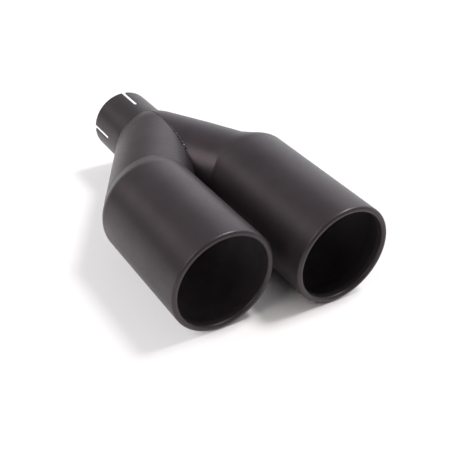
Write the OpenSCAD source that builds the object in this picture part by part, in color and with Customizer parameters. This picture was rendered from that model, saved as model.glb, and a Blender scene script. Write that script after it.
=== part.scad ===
// Dual exhaust tip: one slotted inlet collar, a mitred Y of two branch pipes and two round
// tips of different length. Sheet steel, welded. The inlet's end is at the origin, the gas
// leaves along -Y, +Z is up, and the axes of all five pieces lie in the plane z = 0.

/* [Sheet] */
// Thickness of the sheet that all five pieces are made of
wall = 1.5; // [1:0.1:2.5]

/* [Inlet collar] */
// Outside diameter of the exhaust pipe that the collar slides over
pipe_d = 58; // [50:0.5:64]
// Clearance all round between that pipe and the collar
pipe_gap = 0.1; // [0.05:0.05:0.3]
// Length of the collar, with the part that is inside the Y
collar_l = 56; // [50:1:64]
// Length of each relief slot, from the open end
slot_l = 28; // [15:1:38]
// Width of each relief slot
slot_w = 4; // [2:0.5:8]
// Number of relief slots
slot_count = 4; // [2:1:6]

/* [Branch pipes] */
// Angle between each branch pipe and the collar
branch_angle = 31.3; // [28:0.1:35]
// Distance from the open end of the collar to where the branch pipes' axes cross
cross_y = 70.7; // [66:0.1:76]
// Outside diameter of a branch pipe behind its neck
branch_rear_d = 77.6; // [74:0.1:80]
// Step on the radius from a tip's sleeve in to its branch pipe
branch_step = 4.2; // [2:0.1:6]
// Radius of the curve that draws each branch pipe in towards the collar
neck_curve = 60; // [50:1:90]
// Distance past the crossing of the axes at which that curve begins
neck_start = 5; // [0:0.5:10]
// Distance from the open end of the collar to the trimmed edge of the branch pipes
neck_end = 47.4; // [44:0.1:49]

/* [Tips] */
// Outside diameter of both tips
tip_d = 90; // [86:0.5:100]
// Distance between the axes of the tips
tip_spacing = 102.7; // [96:0.1:112]
// Straight length of the left tip, from its shoulder to its front
left_tip_l = 116; // [80:1:200]
// Straight length of the right tip, from its shoulder to its front
right_tip_l = 131; // [80:1:200]
// Radius of the spun shoulder at the rear of each tip
shoulder_curve = 31; // [28:0.5:36]
// Distance from the meeting of a branch's axis with its tip's axis to the shoulder's start
shoulder_set = 1.9; // [0:0.1:4]
// Width of the rolled lip, across the front face
lip_w = 5.3; // [4:0.1:8]
// Length of the straight edge behind the lip, inside the tip
lip_return = 4; // [1:0.5:10]

/* [Hidden] */
$fn = 96;

collar_r = pipe_d / 2 + pipe_gap + wall;
tip_r = tip_d / 2;
tip_x = tip_spacing / 2;
branch_rear_r = branch_rear_d / 2;
branch_front_r = tip_r - branch_step;
lip_r = lip_w / 2;

// Station along -Y at which the axis of a branch meets the axis of its tip
meet_y = cross_y + tip_x / tan(branch_angle);
shoulder_y = meet_y + shoulder_set;
// Share of the shoulder's curve that is spun, up to the flat end that the branch opens
spun_share = 0.87;
shoulder_l = spun_share * shoulder_curve;
// Share of the curve that a branch pipe's inner side has passed where its bore ends
seat_share = 0.47;
// Length of a branch pipe along its own axis, from the crossing of the axes
branch_l = (shoulder_y - seat_share * shoulder_curve + branch_front_r * sin(branch_angle) - cross_y)
    / cos(branch_angle);
// The neck's curve starts behind the crossing, inside the collar
neck_back = 30;
// Tools that cut right through reach this much further
over = 1;
// Large enough to hold one half of the Y
half = 2 * (tip_x + tip_r);

coat = "#2a292b";

// Puts a body that is drawn along +Z on the Y axis, y from the open end of the collar
module along(y = 0, x = 0) {
    translate([x, -y, 0]) rotate([90, 0, 0]) children();
}

// Solid of the collar's outside
module collar_blank() {
    along(-over) cylinder(r = collar_r, h = collar_l + over);
}

// Section of a branch pipe, drawn in by t: a curved neck and then a slight taper
module branch_section(t) {
    intersection() {
        translate([branch_rear_r - neck_curve, neck_start]) circle(r = neck_curve - t, $fn = 360);
        translate([0, -neck_back]) square([branch_rear_r, neck_start + neck_back]);
    }
    polygon([
        [0, neck_start],
        [branch_rear_r - t, neck_start],
        [branch_front_r - t, branch_l],
        [0, branch_l]
    ]);
}

module branch_blank(side, t) {
    translate([0, -cross_y, 0]) rotate([0, 0, side * branch_angle]) rotate([90, 0, 0])
        rotate_extrude() branch_section(t);
}

// Section of a tip without its lip, drawn in by t: a straight sleeve and the spun shoulder
module sleeve_section(length, t) {
    translate([0, shoulder_y]) square([tip_r - t, length - lip_r]);
    intersection() {
        translate([tip_r - shoulder_curve, shoulder_y]) circle(r = shoulder_curve - t, $fn = 180);
        translate([0, shoulder_y - shoulder_l]) square([tip_r, shoulder_l]);
    }
}

// The sheet turns inwards through half a circle and runs back for a short way
module lip_section(length) {
    front = shoulder_y + length - lip_r;
    intersection() {
        translate([tip_r - lip_r, front]) difference() {
            circle(r = lip_r);
            circle(r = lip_r - wall);
        }
        translate([tip_r - lip_w, front]) square([lip_w, lip_r]);
    }
    translate([tip_r - lip_w, front - lip_return]) square([wall, lip_return]);
}

module inlet_collar() {
    color(coat) difference() {
        along() cylinder(r = collar_r, h = collar_l);
        along(-over) cylinder(r = collar_r - wall, h = collar_l + 2 * over);
        for (i = [0:slot_count - 1])
            rotate([0, 360 * i / slot_count, 0])
                translate([collar_r - wall - over, -slot_l, -slot_w / 2])
                    cube([wall + 2 * over, slot_l + over, slot_w]);
    }
}

module branch(side, tip_l) {
    color(coat) difference() {
        intersection() {
            branch_blank(side, 0);
            translate([side < 0 ? -half : 0, -neck_end - half, -half / 2]) cube([half, half, half]);
        }
        branch_blank(side, wall);
        collar_blank();
        along(0, side * tip_x) rotate_extrude() sleeve_section(tip_l, 0);
    }
}

module tip(side, length) {
    color(coat) difference() {
        along(0, side * tip_x) rotate_extrude() {
            difference() {
                sleeve_section(length, 0);
                sleeve_section(length + over, wall);
            }
            lip_section(length);
        }
        branch_blank(side, wall);
    }
}

inlet_collar();
branch(-1, left_tip_l);  // left_branch
branch(1, right_tip_l);  // right_branch
tip(-1, left_tip_l);  // left_tip
tip(1, right_tip_l);  // right_tip
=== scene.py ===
import math

import bpy
from mathutils import Matrix, Vector, noise


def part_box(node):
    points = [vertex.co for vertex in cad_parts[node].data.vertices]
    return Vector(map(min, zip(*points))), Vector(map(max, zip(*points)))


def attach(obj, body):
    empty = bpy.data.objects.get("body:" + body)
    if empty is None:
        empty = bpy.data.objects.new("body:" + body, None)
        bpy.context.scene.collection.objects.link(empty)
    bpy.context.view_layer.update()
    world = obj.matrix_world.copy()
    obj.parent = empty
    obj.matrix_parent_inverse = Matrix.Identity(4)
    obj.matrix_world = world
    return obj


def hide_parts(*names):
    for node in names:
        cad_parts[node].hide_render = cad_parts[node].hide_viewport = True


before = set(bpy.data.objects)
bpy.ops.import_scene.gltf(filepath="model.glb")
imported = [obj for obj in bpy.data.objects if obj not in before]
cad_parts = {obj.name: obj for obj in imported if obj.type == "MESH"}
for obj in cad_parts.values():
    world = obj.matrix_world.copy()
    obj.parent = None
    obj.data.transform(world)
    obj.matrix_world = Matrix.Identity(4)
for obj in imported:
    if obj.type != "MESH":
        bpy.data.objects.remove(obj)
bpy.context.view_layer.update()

# Sizes of the part in metres, with the shoulders and the mitre as the photograph shows them.
# A station l runs forward, along -Y, from the inlet's end. A side is -1 on the left and 1 on
# the right.

# Sheet and inlet collar
WALL = 0.0015
COLLAR_R = 0.0306
COLLAR_L = 0.056

# Branches: angle to the collar, crossing of the axes, radius, and extra height of the section
# that grows from nothing over a stretch of the axis
ANGLE = math.radians(31.5)
CROSS_Y = 0.0710
BRANCH_R = 0.0384
BRANCH_TALL = 0.048
TALL_START = -0.025
TALL_RUN = 0.070
# Curve that draws a branch in towards the collar, and where it begins past the crossing
NECK_CURVE = 0.060
NECK_START = 0.0025

# Tips
TIP_R = 0.045
TIP_X = 0.05135
# Where each tip's neck begins and where its shoulder begins and ends, from the inlet's end
REAR_Y = {-1: 0.1398, 1: 0.1348}
FLARE_Y = {-1: 0.1385, 1: 0.1335}
SHOULDER_Y = {-1: 0.1580, 1: 0.1530}
NECK_R = 0.0403
FLARE_BEND = 0.003
SHOULDER_BEND = 0.006
LIP_W = 0.0053
LIP_RETURN = 0.004

# End of a branch: just past the neck's rear edge on the outer side, inside the tip elsewhere
END_OUTER = 0.0002
END_TOP = 0.004
END_TOP_X = 0.046
END_SLOPE = 0.45

# Steps round and along the shells
ROUND = 192
SLEEVE_STEPS = 44
LIP_STEPS = 16
FOLD_STEPS = 8
BRANCH_STEPS = 56
# A sleeve's sheet is trimmed to the branch up to here past the shoulder, and ends a little later
TRIM_REACH = 0.012
SLEEVE_END = 0.013
# Stretch of a branch's axis, past the crossing, in which its two ends are looked for
BRANCH_FIRST = -0.035
BRANCH_LAST = (0.03, 0.16)
# Edges with a larger angle than this are shaded sharp
SHARP = math.radians(35)

FLOOR_Z = -TIP_R
FLOOR_SIZE = 80
FLOOR_GLOW = 0.50

# Materials

BLACK = (0.0190, 0.0150, 0.0170)
SHEEN = (1.0, 0.85, 0.935)
# Scales of the coat's noises, from the broadest to the finest
CLOUD_SCALE = 24
MOTTLE_SCALE = 38
PEEL_SCALE = 210
ROUGH_SCALE = 420
GRAIN_SCALE = 1500
# Heights of its bumps
PEEL_HEIGHT = 0.0006
GRAIN_HEIGHT = 0.0002
# Inside a tip the mouth's colours are full in front of the first y and gone behind the second,
# where the inside coat's pale painted light takes over
MOUTH_Y = (-0.268, -0.195)


def node(tree, kind, **values):
    made = tree.nodes.new(kind)
    for name, value in values.items():
        setattr(made, name, value)
    return made


def link(tree, a, b):
    tree.links.new(a, b)


def math_node(tree, operation, a, b=None):
    made = node(tree, "ShaderNodeMath", operation=operation)
    link(tree, a, made.inputs[0])
    if isinstance(b, float):
        made.inputs[1].default_value = b
    elif b is not None:
        link(tree, b, made.inputs[1])
    return made.outputs[0]


def noise_node(tree, coords, scale, detail=3.0, rough=0.55):
    made = node(tree, "ShaderNodeTexNoise")
    made.inputs["Scale"].default_value = scale
    made.inputs["Detail"].default_value = detail
    made.inputs["Roughness"].default_value = rough
    link(tree, coords, made.inputs["Vector"])
    return made.outputs["Fac"]


def ramp(tree, fac, stops):
    made = node(tree, "ShaderNodeValToRGB")
    while len(made.color_ramp.elements) < len(stops):
        made.color_ramp.elements.new(0.5)
    for element, (at, colour) in zip(made.color_ramp.elements, stops):
        element.position = at
        element.color = (*colour, 1)
    link(tree, fac, made.inputs["Fac"])
    return made.outputs["Color"]


def map_range(tree, value, source, target=(0.0, 1.0), soft=False):
    """Maps the source range onto the target range, with a soft change if asked."""
    made = node(tree, "ShaderNodeMapRange")
    if soft:
        made.interpolation_type = "SMOOTHSTEP"
    made.inputs["From Min"].default_value, made.inputs["From Max"].default_value = source
    made.inputs["To Min"].default_value, made.inputs["To Max"].default_value = target
    link(tree, value, made.inputs["Value"])
    return made.outputs[0]


def spread(tree, fac, target):
    """Maps the middle of a noise onto the target range."""
    return map_range(tree, fac, (0.3, 0.7), target)


def mix_colour(tree, fac, a, b):
    made = node(tree, "ShaderNodeMix", data_type="RGBA")
    link(tree, fac, made.inputs["Factor"])
    link(tree, a, made.inputs["A"])
    link(tree, b, made.inputs["B"])
    return made.outputs["Result"]


def bump(tree, height, strength, distance, under=None):
    """Normal of a bump by height, on top of the normal under it."""
    made = node(tree, "ShaderNodeBump")
    made.inputs["Strength"].default_value = strength
    made.inputs["Distance"].default_value = distance
    link(tree, height, made.inputs["Height"])
    if under is not None:
        link(tree, under, made.inputs["Normal"])
    return made.outputs["Normal"]


def scaled(colour, k):
    return tuple(min(1.0, c * k) for c in colour)


def new_material(name):
    """A material with its tree, its shader and the object's own coordinates."""
    mat = bpy.data.materials.new(name)
    mat.use_nodes = True
    tree = mat.node_tree
    coords = node(tree, "ShaderNodeTexCoord").outputs["Object"]
    return mat, tree, tree.nodes["Principled BSDF"], coords


def coat(name, colour, rough=(0.35, 0.43), grain=0.10, orange_peel=0.05, level=(0.46, 0.60),
         mouth=None):
    """Baked black coat, mottled a little, with a fine grain, faint orange peel and a cloudy sheen.

    Where mouth colours are given, the coat is painted pale deeper inside, painted light that lifts
    the shade there, and the mouth's colours take over towards the front.
    """
    mat, tree, shader, coords = new_material(name)
    shader.inputs["Specular Tint"].default_value = (*SHEEN, 1)
    cloud = noise_node(tree, coords, CLOUD_SCALE, 3, 0.6)
    link(tree, spread(tree, cloud, level), shader.inputs["Specular IOR Level"])
    broad = noise_node(tree, coords, MOTTLE_SCALE, 4)
    base = ramp(tree, broad, [
        (0.3, scaled(colour, 0.88)),
        (0.5, colour),
        (0.72, scaled(colour, 1.14)),
    ])
    # Painted light: deeper inside, the given colour is a pale one that lifts the shade, mixed in
    # behind the mouth's colours
    if mouth:
        where = node(tree, "ShaderNodeSeparateXYZ")
        link(tree, coords, where.inputs[0])
        painted_light_depth = map_range(tree, where.outputs["Y"], MOUTH_Y)
        base = mix_colour(tree, painted_light_depth, ramp(tree, broad, mouth), base)
    link(tree, base, shader.inputs["Base Color"])
    fine = noise_node(tree, coords, ROUGH_SCALE, 3)
    link(tree, spread(tree, fine, rough), shader.inputs["Roughness"])
    peel = bump(tree, noise_node(tree, coords, PEEL_SCALE, 2), orange_peel, PEEL_HEIGHT)
    grains = noise_node(tree, coords, GRAIN_SCALE, 2)
    link(tree, bump(tree, grains, grain, GRAIN_HEIGHT, peel), shader.inputs["Normal"])
    return mat


coat_tip = coat("coat_tip", BLACK)
coat_branch = coat("coat_branch", BLACK)
# Painted light: the inner faces of the branches and the tips are painted pale grey to lift their
# shade, and turn near-black towards the tips' mouths
coat_inside_painted_light = coat(
    "coat_inside_painted_light",
    (0.230, 0.205, 0.214),
    rough=(0.70, 0.85),
    level=(0.08, 0.12),
    mouth=[(0.3, (0.024, 0.021, 0.022)), (0.7, (0.032, 0.028, 0.029))],
)
coat_collar = coat("coat_collar", (0.0180, 0.0152, 0.0166), rough=(0.36, 0.44), grain=0.12)
coat_weld = coat(
    "coat_weld", (0.019, 0.0155, 0.017), rough=(0.34, 0.48), grain=0.5, orange_peel=0.3
)

for name, material in (
    ("inlet_collar", coat_collar),
    ("left_branch", coat_branch),
    ("right_branch", coat_branch),
    ("left_tip", coat_tip),
    ("right_tip", coat_tip),
):
    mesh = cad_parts[name].data
    mesh.materials.clear()
    mesh.materials.append(material)


# The tips and the branches

def branch_radius(s):
    """Outside radius of a branch, s along its axis past the crossing of the axes."""
    if s < NECK_START:
        return BRANCH_R - NECK_CURVE + math.sqrt(NECK_CURVE ** 2 - (s - NECK_START) ** 2)
    return BRANCH_R


def branch_tall(s):
    """Height of a branch's section over its width."""
    return 1 + BRANCH_TALL * min(1.0, max(0.0, (s - TALL_START) / TALL_RUN))


def outside_branch(p, side):
    """How far p lies outside the branch's outer face."""
    x, y, z = p.x * side, -p.y - CROSS_Y, p.z
    s = x * math.sin(ANGLE) + y * math.cos(ANGLE)
    across = x * math.cos(ANGLE) - y * math.sin(ANGLE)
    return math.hypot(across, z / branch_tall(s)) - branch_radius(s)


def branch_side(l):
    """How far a branch's outer side lies from the tip's axis at station l."""
    return (l - CROSS_Y) * math.tan(ANGLE) + BRANCH_R / math.cos(ANGLE) - TIP_X


def past_branch(p, side):
    """How far p lies past the end of a branch, which is inside the tip but for its outer side."""
    outer_x = TIP_X + branch_side(REAR_Y[side])
    outer_l, top_l = REAR_Y[side] + END_OUTER, FLARE_Y[side] + END_TOP
    x = p.x * side
    if x > END_TOP_X:
        return -p.y - top_l + (x - END_TOP_X) * (top_l - outer_l) / (outer_x - END_TOP_X)
    return -p.y - top_l - (END_TOP_X - x) * END_SLOPE


def solve(f, a, b, halvings=50):
    """The place between a and b at which f changes its sign."""
    fa = f(a)
    for _ in range(halvings):
        m = (a + b) / 2
        fm = f(m)
        if (fa < 0) == (fm < 0):
            a, fa = m, fm
        else:
            b = m
    return (a + b) / 2


def last_valid(point, valid, first, last, step=0.0005, halvings=30):
    """The lowest t down to which point(t) stays valid, coming from first."""
    t = first
    while t > last and valid(point(t - step)):
        t -= step
    if t <= last:
        return last
    low, high = t - step, t
    for _ in range(halvings):
        middle = (low + high) / 2
        if valid(point(middle)):
            high = middle
        else:
            low = middle
    return high


def shares(count):
    return [i / count for i in range(count + 1)]


def smooth_mesh(name, vertices, faces, materials):
    mesh = bpy.data.meshes.new(name)
    mesh.from_pydata([tuple(p) for p in vertices], [], faces)
    for material in materials:
        mesh.materials.append(material)
    mesh.polygons.foreach_set("use_smooth", [True] * len(faces))
    return mesh


def add_piece(mesh, replaced=None):
    """Puts a mesh into the scene as a piece of the part."""
    made = bpy.data.objects.new(mesh.name, mesh)
    bpy.context.scene.collection.objects.link(made)
    if replaced:
        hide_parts(replaced)
    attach(made, "root")


def shell(name, replaced, loops, inner_from, outer):
    """A closed shell from loops of the same length round it. Its rows from inner_from on are the
    inner face, but for the last row, which closes it.
    """
    count, rows = len(loops), len(loops[0])
    faces = []
    inside = []
    for i in range(count):
        k = (i + 1) % count
        for j in range(rows):
            m = (j + 1) % rows
            faces.append((i * rows + j, k * rows + j, k * rows + m, i * rows + m))
            inside.append(1 if inner_from <= j < rows - 1 else 0)
    vertices = [p for loop in loops for p in loop]
    mesh = smooth_mesh(name, vertices, faces, (outer, coat_inside_painted_light))
    mesh.polygons.foreach_set("material_index", inside)
    mesh.set_sharp_from_angle(angle=SHARP)
    add_piece(mesh, replaced)


def flare(l, side):
    """0 on a tip's neck and 1 on its sleeve, with a bend at each end of the shoulder."""
    u, v = l - FLARE_Y[side], SHOULDER_Y[side] - l
    if u <= 0 or v <= 0:
        return 0.0 if u <= 0 else 1.0
    slope = 1 / (u + v - (FLARE_BEND + SHOULDER_BEND) / 2)
    if u < FLARE_BEND:
        return slope * u * u / (2 * FLARE_BEND)
    if v < SHOULDER_BEND:
        return 1 - slope * v * v / (2 * SHOULDER_BEND)
    return slope * (u - FLARE_BEND / 2)


def tip(side, name, replaced):
    start = SHOULDER_Y[side]
    lip_y = -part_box(replaced)[0][1] - LIP_W / 2
    lip_r = TIP_R - LIP_W / 2
    # The neck is skewed, so that its outer side meets the branch's
    shift = NECK_R - branch_side(REAR_Y[side])
    loops = []
    for i in range(ROUND):
        a = 2 * math.pi * i / ROUND

        def at(l, r):
            return Vector((side * TIP_X + r * math.cos(a), -l, r * math.sin(a)))

        def sheet_at(l, t):
            full = flare(l, side)
            p = at(l, NECK_R + (TIP_R - NECK_R) * full - t)
            p.x -= side * shift * (1 - full)
            return p

        def sheet(t):
            """Rear part of the sheet, drawn in by t, from where it leaves the branch."""
            first = last_valid(
                lambda l: sheet_at(l, t),
                lambda p: outside_branch(p, side) > 0 or past_branch(p, side) > 0,
                start + TRIM_REACH,
                REAR_Y[side],
            )
            run = start + SLEEVE_END - first
            return [sheet_at(first + run * u, t) for u in shares(SLEEVE_STEPS)]

        def half_turn(r, steps):
            return [
                at(lip_y + r * math.sin(math.pi * u), lip_r + r * math.cos(math.pi * u))
                for u in shares(steps)
            ]

        lip = half_turn(LIP_W / 2, LIP_STEPS)
        under = half_turn(LIP_W / 2 - WALL, FOLD_STEPS)
        edge = [at(lip_y - LIP_RETURN, TIP_R - LIP_W), at(lip_y - LIP_RETURN, TIP_R - LIP_W + WALL)]
        outer = sheet(0) + lip + edge
        loops.append(outer + under[::-1] + sheet(WALL)[::-1])
    # The inner face begins at the lip's end, before the two points of the edge
    shell(name, replaced, loops, len(outer) - len(edge) - 1, coat_tip)


def branch(side, name, replaced):
    sin, cos = math.sin(ANGLE), math.cos(ANGLE)
    loops = []
    for i in range(ROUND):
        a = 2 * math.pi * i / ROUND

        def line(t):
            """Line along the sheet, drawn in by t, from the mitre or the collar to the end."""
            def at(s):
                r = branch_radius(s) - t
                across = r * math.cos(a)
                x, y = s * sin + across * cos, s * cos - across * sin
                return Vector((side * x, -CROSS_Y - y, r * math.sin(a) * branch_tall(s)))

            def valid(p):
                return p.x * side > 0 and (math.hypot(p.x, p.z) > COLLAR_R or -p.y > COLLAR_L)

            last = solve(lambda s: past_branch(at(s), side), *BRANCH_LAST)
            first = last_valid(at, valid, last, BRANCH_FIRST)
            return [at(first + (last - first) * u) for u in shares(BRANCH_STEPS)]

        loops.append(line(0) + line(WALL)[::-1])
    shell(name, replaced, loops, BRANCH_STEPS + 1, coat_branch)


tip(-1, "left_tip_shell", "left_tip")
tip(1, "right_tip_shell", "right_tip")
branch(-1, "left_branch_shell", "left_branch")
branch(1, "right_branch_shell", "right_branch")


# Weld beads, laid on the lines where the sheets meet

BEAD_R = 0.0006
BUMPS_PER_METRE = 700
COLLAR_JOINT_STEPS = 240
# The collar's joint lies between the crossing of the axes and this station
COLLAR_JOINT_Y = 0.036
SEAM_STEPS = 200
SEAM_FROM, SEAM_TO = 0.0480, 0.1230
# The seam's bead is thin up to the first share of its length and thick from the second on
THIN_TO, THICK_RUN = 0.50, 0.30
THIN_R, ADDED_R = 0.0003, 0.0009
# The added thickness is this share of itself, and more or less by the waves
SEAM_EVEN, SEAM_UNEVEN = 0.75, 0.9
SEAM_WAVES = 34
# A bead of spatter sits on these points of the seam, this far up
SPATTER = slice(191, 194)
SPATTER_UP = Vector((0.0, 0.0, 0.0011))


def tube(name, points, radius, material, closed=False, sides=10, rough=0.25, seed=0.0):
    """A bumpy bead with its centre on points. The radius may be a function of the share along."""
    rings = []
    count = len(points)
    for i, p in enumerate(points):
        before = points[i - 1] if i or closed else p
        after = points[(i + 1) % count] if i + 1 < count or closed else p
        along = (after - before).normalized()
        up = Vector((0.0, 0.0, 1.0))
        if abs(along.dot(up)) > 0.95:
            up = Vector((1.0, 0.0, 0.0))
        u = along.cross(up).normalized()
        v = along.cross(u).normalized()
        r = radius(i / max(1, count - 1)) if callable(radius) else radius
        ring = []
        for k in range(sides):
            a = 2 * math.pi * k / sides
            out = u * math.cos(a) + v * math.sin(a)
            q = (p + out * r) * BUMPS_PER_METRE + Vector((seed, 0, 0))
            ring.append(p + out * r * (1 + rough * noise.noise(q)))
        rings.append(ring)
    faces = []
    for i in range(count if closed else count - 1):
        j = (i + 1) % count
        for k in range(sides):
            m = (k + 1) % sides
            faces.append((i * sides + k, j * sides + k, j * sides + m, i * sides + m))
    if not closed:
        faces.append(tuple(reversed(range(sides))))
        faces.append(tuple(range((count - 1) * sides, count * sides)))
    vertices = [q for ring in rings for q in ring]
    add_piece(smooth_mesh(name, vertices, faces, (material,)))


def collar_joint():
    """Round the collar, where it enters the branches."""
    points = []
    for i in range(COLLAR_JOINT_STEPS):
        a = 2 * math.pi * i / COLLAR_JOINT_STEPS
        x, z = COLLAR_R * math.cos(a), COLLAR_R * math.sin(a)
        side = 1 if x >= 0 else -1
        y = solve(
            lambda t: outside_branch(Vector((x, t, z)), side), -CROSS_Y, -COLLAR_JOINT_Y
        )
        points.append(Vector((x, y, z)))
    return points


def seam(sign):
    """From the collar to the crotch, on the plane between the branches."""
    points = []
    for i in range(SEAM_STEPS):
        y = SEAM_FROM + (SEAM_TO - SEAM_FROM) * i / (SEAM_STEPS - 1)
        d = y - CROSS_Y
        s = d * math.cos(ANGLE)
        room = branch_radius(s) ** 2 - (d * math.sin(ANGLE)) ** 2
        if room > 0:
            points.append(Vector((0.0, -y, sign * math.sqrt(room) * branch_tall(s))))
    return points


def seam_radius(t):
    """A seam's bead is thin at the collar and thick and uneven towards the crotch."""
    thick = min(1.0, max(0.0, (t - THIN_TO) / THICK_RUN))
    uneven = SEAM_EVEN + SEAM_UNEVEN * noise.noise(Vector((t * SEAM_WAVES, 0.0, 0.0)))
    return THIN_R + ADDED_R * thick * uneven


def spatter_steel():
    """Bare steel of the bead of spatter."""
    mat, tree, shader, coords = new_material("weld_spatter")
    shader.inputs["Metallic"].default_value = 1.0
    tone = ramp(tree, noise_node(tree, coords, 900), [
        (0.3, (0.80, 0.80, 0.82)),
        (0.7, (0.95, 0.95, 0.97)),
    ])
    link(tree, tone, shader.inputs["Base Color"])
    rough = spread(tree, noise_node(tree, coords, 2500), (0.25, 0.40))
    link(tree, rough, shader.inputs["Roughness"])
    return mat


tube("weld_collar", collar_joint(), BEAD_R, coat_weld, closed=True, seed=3.0)
for label, sign in (("top", 1), ("bottom", -1)):
    tube("weld_seam_" + label, seam(sign), seam_radius, coat_weld, rough=0.8, seed=7.0 * sign)
spatter = [p + SPATTER_UP for p in seam(1)[SPATTER]]
tube("weld_spatter", spatter, BEAD_R, spatter_steel(), sides=12)


# Floor, light and camera

# Where the floor's own light begins and where it is full: beside the part by |x|, ahead of it by
# -y and behind it by y. Within these, under and between the tips' front halves, the glow is taken
# away: painted shade
GLOW_BESIDE = (0.045, 0.078)
GLOW_AHEAD = (0.284, 0.328)
GLOW_BEHIND = (-0.22, -0.17)
# A share of it reaches between the tips on the left, by x: painted light that lightens that side of
# the shadow between the tips
GLOW_BETWEEN = (0.025, -0.020)
PAINTED_LIGHT_SHARE = 0.18


def floor_material():
    """A pale floor. Part of its light is its own, for what the camera sees and the coat reflects.
    A mask by position takes it away under and between the front halves of the tips, painted shade
    there, but for a share on the left between the tips, which is painted light.
    """
    mat, tree, shader, coords = new_material("floor")
    tone = ramp(tree, noise_node(tree, coords, 3, 2), [
        (0.3, (0.94, 0.905, 0.915)),
        (0.7, (0.96, 0.925, 0.935)),
    ])
    link(tree, tone, shader.inputs["Base Color"])
    shader.inputs["Roughness"].default_value = 0.9
    shader.inputs["Specular IOR Level"].default_value = 0.1
    glow = node(tree, "ShaderNodeEmission")
    glow.inputs["Color"].default_value = (1.0, 1.0, 1.0, 1)
    glow.inputs["Strength"].default_value = 1.0

    where = node(tree, "ShaderNodeSeparateXYZ")
    link(tree, coords, where.inputs[0])
    x, y = where.outputs["X"], where.outputs["Y"]

    def fade(value, stretch):
        return map_range(tree, value, stretch, soft=True)

    # Painted shade: the glow is masked away under and between the front halves of the tips,
    # deepening the shadow there
    beside = fade(math_node(tree, "ABSOLUTE", x), GLOW_BESIDE)
    ahead = fade(math_node(tree, "MULTIPLY", y, -1.0), GLOW_AHEAD)
    behind = fade(y, GLOW_BEHIND)
    # Painted light: a share of the glow on the left between the tips, lightening the shadow there
    between = math_node(tree, "MULTIPLY", fade(x, GLOW_BETWEEN), PAINTED_LIGHT_SHARE)
    clear = math_node(tree, "MAXIMUM", math_node(tree, "MAXIMUM", beside, ahead), behind)
    clear = math_node(tree, "MAXIMUM", clear, between)

    path = node(tree, "ShaderNodeLightPath")
    seen = math_node(tree, "ADD", path.outputs["Is Camera Ray"], path.outputs["Is Glossy Ray"])
    seen = math_node(tree, "ADD", seen, path.outputs["Is Transmission Ray"])
    seen = math_node(tree, "MULTIPLY", seen, FLOOR_GLOW)
    blend = node(tree, "ShaderNodeMixShader")
    link(tree, math_node(tree, "MULTIPLY", seen, clear), blend.inputs[0])
    link(tree, shader.outputs[0], blend.inputs[1])
    link(tree, glow.outputs[0], blend.inputs[2])
    link(tree, blend.outputs[0], tree.nodes["Material Output"].inputs["Surface"])
    return mat


bpy.ops.mesh.primitive_plane_add(size=FLOOR_SIZE, location=(0, 0, FLOOR_Z))
floor = bpy.context.object
floor.name = "floor"
floor.data.materials.append(floor_material())

# The sky is grey, with soft round panels of light in it and two darker parts. Each has its
# direction from the part, the angles at which it is full and at which it ends, and its colour.
SKY = (0.50, 0.50, 0.50)
PANELS = (
    ((0.87, 0.42, 0.24), 20, 50, (0.84, 0.88, 0.92)),
    ((-0.56, 0.68, 0.47), 4, 14, (1.55, 1.48, 1.40)),
    ((-0.74, -0.06, 0.67), 6, 20, (4.4, 4.25, 4.1)),
    ((-0.45, -0.80, 0.42), 20, 65, (-0.38, -0.38, -0.38)),
    ((-0.70, 0.70, 0.12), 6, 27, (-0.28, -0.28, -0.28)),
)
# The key light is a soft sun from this direction
KEY_FROM = Vector((0.454, 0.0, 0.891))
KEY_STRENGTH = 2.35
KEY_ANGLE = math.radians(15)

world = bpy.data.worlds.new("world")
bpy.context.scene.world = world
world.use_nodes = True
tree = world.node_tree
background = tree.nodes["Background"]
background.inputs["Strength"].default_value = 1.0
toward = node(tree, "ShaderNodeTexCoord").outputs["Generated"]
light = None
for direction, full, end, colour in PANELS:
    near = node(tree, "ShaderNodeVectorMath", operation="DOT_PRODUCT")
    link(tree, toward, near.inputs[0])
    near.inputs[1].default_value = Vector(direction).normalized()
    cosines = (math.cos(math.radians(end)), math.cos(math.radians(full)))
    added = node(tree, "ShaderNodeVectorMath", operation="MULTIPLY_ADD")
    link(tree, map_range(tree, near.outputs["Value"], cosines, soft=True), added.inputs[0])
    added.inputs[1].default_value = colour
    if light is None:
        added.inputs[2].default_value = SKY
    else:
        link(tree, light, added.inputs[2])
    light = added.outputs[0]
link(tree, light, background.inputs["Color"])

key_data = bpy.data.lights.new("key", "SUN")
key_data.energy = KEY_STRENGTH
key_data.angle = KEY_ANGLE
key = bpy.data.objects.new("key", key_data)
key.rotation_euler = KEY_FROM.to_track_quat("Z", "Y").to_euler()
bpy.context.scene.collection.objects.link(key)

# The camera as it was fitted to the photograph
CAMERA_AT = (-0.32234, -0.65454, 0.36272)
AZIMUTH, ELEVATION, ROLL = (math.radians(v) for v in (-34.944, 33.590, 4.605))
SENSOR = 36
LENS = 63.40
camera_data = bpy.data.cameras.new("camera")
camera_data.sensor_width = SENSOR
camera_data.lens = LENS
camera = bpy.data.objects.new("camera", camera_data)
back = Vector((
    math.sin(AZIMUTH) * math.cos(ELEVATION),
    -math.cos(AZIMUTH) * math.cos(ELEVATION),
    math.sin(ELEVATION),
))
level_right = (-back).cross(Vector((0, 0, 1))).normalized()
level_down = (-back).cross(level_right)
right = level_right * math.cos(ROLL) - level_down * math.sin(ROLL)
down = level_right * math.sin(ROLL) + level_down * math.cos(ROLL)
turn = Matrix((right, -down, back)).transposed().to_4x4()
camera.matrix_world = Matrix.Translation(CAMERA_AT) @ turn
bpy.context.scene.collection.objects.link(camera)
bpy.context.scene.camera = camera
bpy.context.scene.view_settings.view_transform = "Standard"
